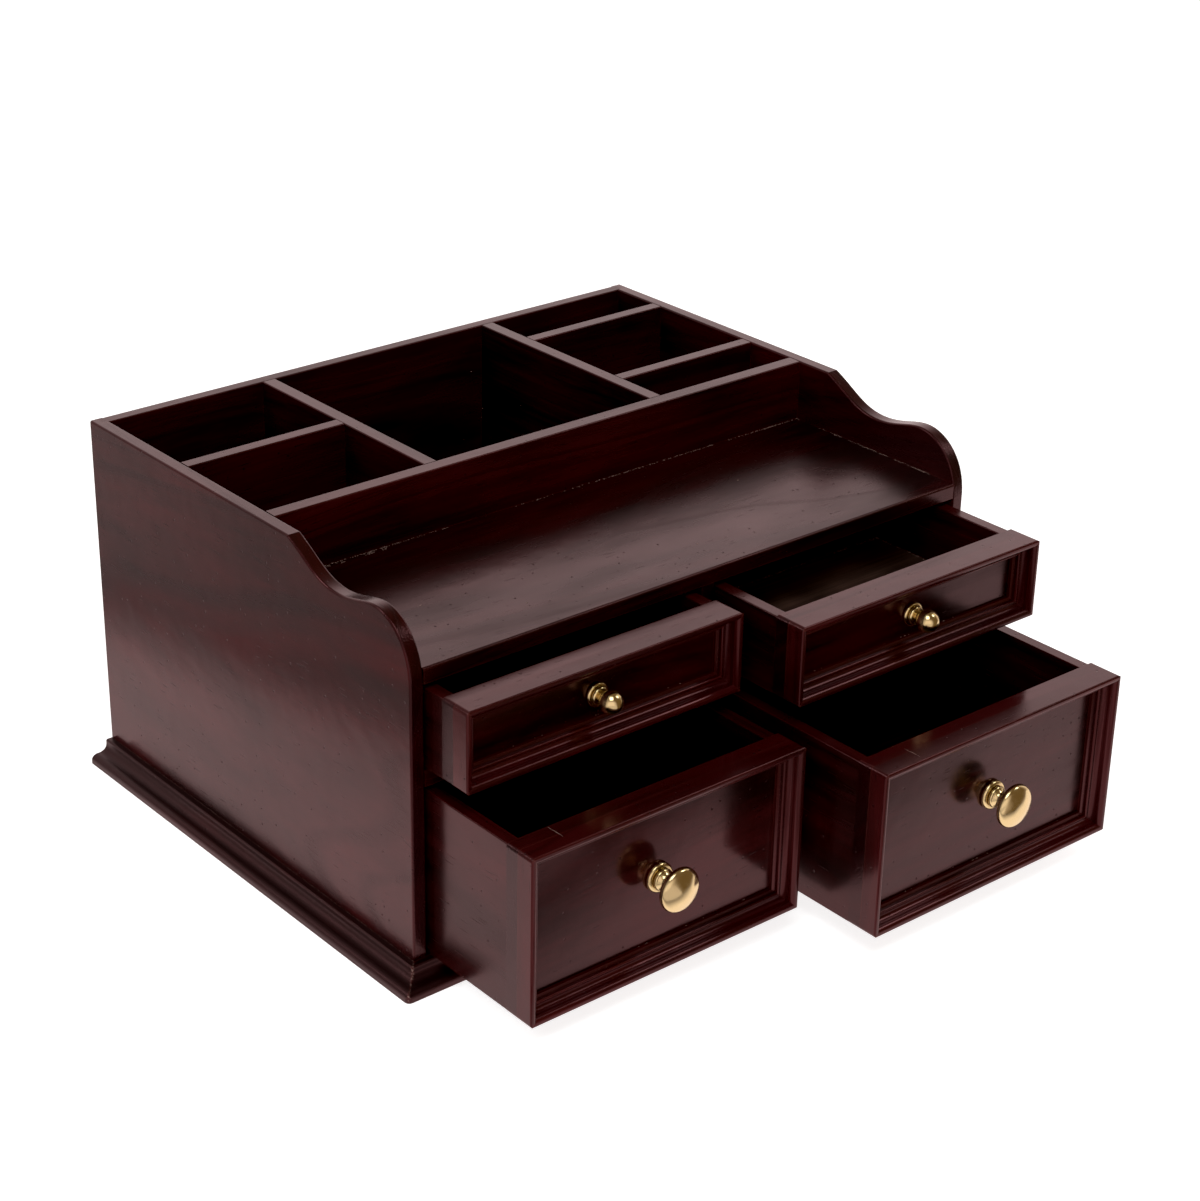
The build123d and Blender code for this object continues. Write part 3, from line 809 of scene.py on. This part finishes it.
class ORGANIZER_OT_marks(bpy.types.Operator):
    """Add the pale rub marks on the tops of the lower drawer fronts"""

    bl_idname = "organizer.marks"
    bl_label = "Add the rub marks"

    def execute(self, context):
        material = dried_polish("rubbed_bare_wood")
        # Each mark has its rear end, its length and half its width, in millimetres.
        marks = (
            ("lower_left_drawer", (-165.2, -221.4), 11.8, 0.3),
            ("lower_right_drawer", (33.5, -274.4), 11.0, 0.2),
        )
        steps = 12
        section = ((-1, -0.02), (0, 0.05), (1, -0.02))
        for drawer, (x, y), length, half in marks:
            name = drawer + "_rub_mark"
            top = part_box(drawer + "_moulding_top")[1].z
            bm = bmesh.new()
            rows = []
            for i in range(steps + 1):
                t = i / steps
                wide = half * math.sin(math.pi * (0.06 + 0.88 * t)) ** 0.6
                bend = 0.5 * math.sin(2.2 * t) + 0.12 * math.sin(17 * t)
                middle = Vector((x + bend, y - length * t, 0)) * MM
                offsets = [Vector((side * wide * MM, 0, top + lift * MM)) for side, lift in section]
                rows.append([bm.verts.new(middle + offset) for offset in offsets])
            for a, b in zip(rows, rows[1:]):
                for i in range(3):
                    bm.faces.new((a[i - 1], a[i], b[i], b[i - 1]))
            bm.faces.new(rows[0])
            bm.faces.new(rows[-1])
            bmesh.ops.recalc_face_normals(bm, faces=bm.faces)
            place_piece(mesh_from(bm, name), name, material, drawer)
        return {"FINISHED"}


def paper_floor(colour):
    """Matt white paper that the organizer stands on: evenly bright, with soft shadows and no gloss."""
    bm = bmesh.new()
    bmesh.ops.create_grid(bm, x_segments=1, y_segments=1, size=15)
    mesh = mesh_from(bm, "paper_floor")
    material, tree = new_material("matt_white_paper")
    here = add(tree, "ShaderNodeTexCoord").outputs["Object"]
    # Flecks of the paper are 2.5 mm wide.
    fleck = add(tree, "ShaderNodeTexNoise", {"Vector": here, "Scale": 1000 / 2.5, "Detail": 2})
    bump = add(tree, "ShaderNodeBump", {"Height": fleck, "Strength": 0.1, "Distance": 0.1 * MM})
    shader = add(tree, "ShaderNodeBsdfPrincipled", {
        "Base Color": (*colour, 1), "Roughness": 0.9, "Specular IOR Level": 0.1, "Normal": bump,
        "Emission Color": (1, 1, 1, 1), "Emission Strength": 0.8,
    })
    add(tree, "ShaderNodeOutputMaterial", {"Surface": shader})
    mesh.materials.append(material)
    floor = put_in_scene("paper_floor", mesh)
    floor.location.z = -0.2 * MM
    floor.visible_glossy = False


def white_sheet(brightness, warmth):
    """A lit white sheet that only the lacquer mirrors. It fades at its edges, with a duller top in front."""
    sheet_mm = ((-412, -196, -0.1), (900, -655, -0.1), (900, 500, -0.1), (-258, 500, -0.1))
    front_mm = ((-1300, -150, -0.15), (-40, -320, -0.15), (110, -1800, -0.15), (-1300, -1800, -0.15))
    fade, front_glow = 0.06, 0.6
    corners = [Vector(corner) * MM for corner in sheet_mm]
    middle = sum(corners, Vector()) / 4
    bm = bmesh.new()
    inner = [bm.verts.new(middle.lerp(corner, 1 - fade)) for corner in corners]
    outer = [bm.verts.new(middle.lerp(corner, 1 + fade)) for corner in corners]
    bm.faces.new(inner)
    for i in range(4):
        bm.faces.new((outer[i - 1], outer[i], inner[i], inner[i - 1]))
    bm.faces.new([bm.verts.new(Vector(corner) * MM) for corner in front_mm])
    mesh = mesh_from(bm, "white_sheet")
    glow = mesh.attributes.new("glow", "FLOAT", "POINT")
    glow.data.foreach_set("value", [1] * 4 + [0] * 4 + [front_glow] * 4)
    material, tree = new_material("lit_white_sheet")
    glow = add(tree, "ShaderNodeAttribute", attribute_name="glow").outputs["Fac"]
    level = add(tree, "ShaderNodeMath", {0: glow, 1: brightness}, operation="MULTIPLY")
    shine = add(tree, "ShaderNodeEmission", {"Color": (*warmth, 1), "Strength": level})
    add(tree, "ShaderNodeOutputMaterial", {"Surface": shine})
    mesh.materials.append(material)
    sheet = put_in_scene("white_sheet", mesh)
    sheet.visible_camera = False
    sheet.visible_diffuse = False
    sheet.visible_shadow = False


def softbox(name, azimuth, elevation, distance, size, brightness):
    """A square soft light that faces the organizer, placed by angles in degrees and sizes in metres."""
    middle = Vector((0, 0, 0.1))
    a, e = math.radians(azimuth), math.radians(elevation)
    way = Vector((math.sin(a) * math.cos(e), -math.cos(a) * math.cos(e), math.sin(e)))
    light = bpy.data.lights.new(name, "AREA")
    light.size = size
    light.energy = math.pi * size**2 * brightness
    lamp = put_in_scene(name, light)
    lamp.location = middle + way * distance
    lamp.rotation_euler = way.to_track_quat("Z", "Y").to_euler()
    lamp.visible_camera = False


def soft_room(stage):
    """The room as the lacquer mirrors it: dim and brown, and pale low down behind and in front."""
    world = bpy.data.worlds.new("soft_room")
    bpy.context.scene.world = world
    world.use_nodes = True
    tree = world.node_tree
    tree.nodes.clear()
    way = add(tree, "ShaderNodeTexCoord").outputs["Generated"]
    height = add(tree, "ShaderNodeSeparateXYZ", {0: way}).outputs["Z"]
    low = add(tree, "ShaderNodeMapRange", {
        "Value": height, "From Min": 0.72, "From Max": 0.5, "To Max": stage.sky,
    })
    behind = add(tree, "ShaderNodeVectorMath", {0: way, 1: (0.62, 0.785, 0)}, operation="DOT_PRODUCT")
    behind = add(tree, "ShaderNodeMapRange", {
        "Value": behind.outputs["Value"], "From Min": 0.2, "From Max": 0.75,
    })
    pale = add(tree, "ShaderNodeMath", {0: behind, 1: low}, operation="MULTIPLY")
    front = add(tree, "ShaderNodeVectorMath", {0: way, 1: (-0.64, -0.77, 0)}, operation="DOT_PRODUCT")
    front = add(tree, "ShaderNodeMapRange", {
        "Value": front.outputs["Value"], "From Min": 0.6, "From Max": 0.9,
    })
    front = add(tree, "ShaderNodeMath", {0: front, 1: low}, operation="MULTIPLY")
    pale = add(tree, "ShaderNodeMath", {0: front, 1: 0.7, 2: pale}, operation="MULTIPLY_ADD")

    # The room is lighter and greyer behind on the left.
    beside = add(tree, "ShaderNodeVectorMath", {0: way, 1: (-0.6, 0.8, 0)}, operation="DOT_PRODUCT")
    beside = add(tree, "ShaderNodeMapRange", {
        "Value": beside.outputs["Value"], "From Min": -0.2, "From Max": 0.5,
    })
    room = add(tree, "ShaderNodeMix", {
        "Factor": beside, MIX_A: (*stage.room, 1), MIX_B: (*stage.room_left, 1),
    }, data_type="RGBA").outputs[MIX_RESULT]
    glow = add(tree, "ShaderNodeMix", {
        "Factor": pale, MIX_A: room, MIX_B: (*stage.warmth, 1),
    }, data_type="RGBA", clamp_factor=False).outputs[MIX_RESULT]

    # Seen past the floor, it is plain white like the floor.
    seen = add(tree, "ShaderNodeLightPath").outputs["Is Camera Ray"]
    plain = add(tree, "ShaderNodeMix", {
        "Factor": seen, MIX_A: glow, MIX_B: (1, 1, 1, 1),
    }, data_type="RGBA").outputs[MIX_RESULT]
    sky = add(tree, "ShaderNodeBackground", {"Color": plain})
    add(tree, "ShaderNodeOutputWorld", {"Surface": sky})


def photo_camera(lens):
    """The camera at the photograph's place and angle."""
    down, aside, roll = (math.radians(angle) for angle in (25.35, 38.35, 0.25))
    camera = bpy.data.cameras.new("photo_camera")
    camera.sensor_fit = "HORIZONTAL"
    camera.sensor_width = 36
    camera.lens = lens
    camera.shift_x = 0.0741
    camera.shift_y = -0.0101
    eye = put_in_scene("photo_camera", camera)
    eye.location = Vector((-870.7, -1083.4, 771.8)) * MM
    aim = Euler((math.pi / 2 - down, 0, -aside)).to_matrix()
    eye.rotation_euler = (aim @ Matrix.Rotation(roll, 3, "Z")).to_euler()
    bpy.context.scene.camera = eye


class ORGANIZER_OT_stage(bpy.types.Operator):
    """Add the paper floor, the soft lights and the camera"""

    bl_idname = "organizer.stage"
    bl_label = "Set the stage"

    def execute(self, context):
        stage = context.scene.organizer_stage
        paper_floor(stage.floor_colour)
        white_sheet(stage.sheet, stage.warmth)
        softbox("high_softbox", azimuth=-38, elevation=57, distance=1.7, size=0.85, brightness=2.8)
        softbox("left_softbox", azimuth=-118, elevation=38, distance=1.7, size=0.5, brightness=5)
        softbox("right_softbox", azimuth=54, elevation=44, distance=1.8, size=0.45, brightness=4.5)
        soft_room(stage)
        photo_camera(stage.lens)

        # A slight black level keeps the shadows as deep as in the photograph.
        view = context.scene.view_settings
        view.view_transform = "Standard"
        view.use_curve_mapping = True
        view.curve_mapping.black_level = (0.0018, 0.0018, 0.0018)
        return {"FINISHED"}


class ORGANIZER_PT_sidebar(bpy.types.Panel):
    """Sizes, colours and steps of the organizer's finish"""

    bl_label = "Desk organizer"
    bl_idname = "ORGANIZER_PT_sidebar"
    bl_space_type = "VIEW_3D"
    bl_region_type = "UI"
    bl_category = "Organizer"

    def draw(self, context):
        for group, steps in PANEL_ROWS:
            box = self.layout.box()
            settings = getattr(context.scene, group)
            for name in settings.__annotations__:
                box.prop(settings, name)
            for step in steps:
                box.operator(step)


PANEL_ROWS = (
    ("organizer_wood", ("organizer.carcass", "organizer.drawers")),
    ("organizer_brass", ("organizer.knobs", "organizer.screws")),
    ("organizer_wear", ("organizer.pins", "organizer.traces", "organizer.marks")),
    ("organizer_stage", ("organizer.stage",)),
)
GROUPS = {
    "organizer_wood": OrganizerWood,
    "organizer_brass": OrganizerBrass,
    "organizer_wear": OrganizerWear,
    "organizer_stage": OrganizerStage,
}
CLASSES = (
    ORGANIZER_OT_carcass,
    ORGANIZER_OT_drawers,
    ORGANIZER_OT_knobs,
    ORGANIZER_OT_screws,
    ORGANIZER_OT_pins,
    ORGANIZER_OT_traces,
    ORGANIZER_OT_marks,
    ORGANIZER_OT_stage,
    ORGANIZER_PT_sidebar,
)


def register():
    for name, group in GROUPS.items():
        bpy.utils.register_class(group)
        setattr(bpy.types.Scene, name, PointerProperty(type=group))
    for cls in CLASSES:
        bpy.utils.register_class(cls)


def unregister():
    for cls in reversed(CLASSES):
        bpy.utils.unregister_class(cls)
    for name, group in GROUPS.items():
        delattr(bpy.types.Scene, name)
        bpy.utils.unregister_class(group)


def main():
    register()
    bpy.ops.organizer.carcass()
    bpy.ops.organizer.drawers()
    bpy.ops.organizer.knobs()
    bpy.ops.organizer.screws()
    bpy.ops.organizer.pins()
    bpy.ops.organizer.traces()
    bpy.ops.organizer.marks()
    bpy.ops.organizer.stage()


if __name__ == "__main__":
    main()
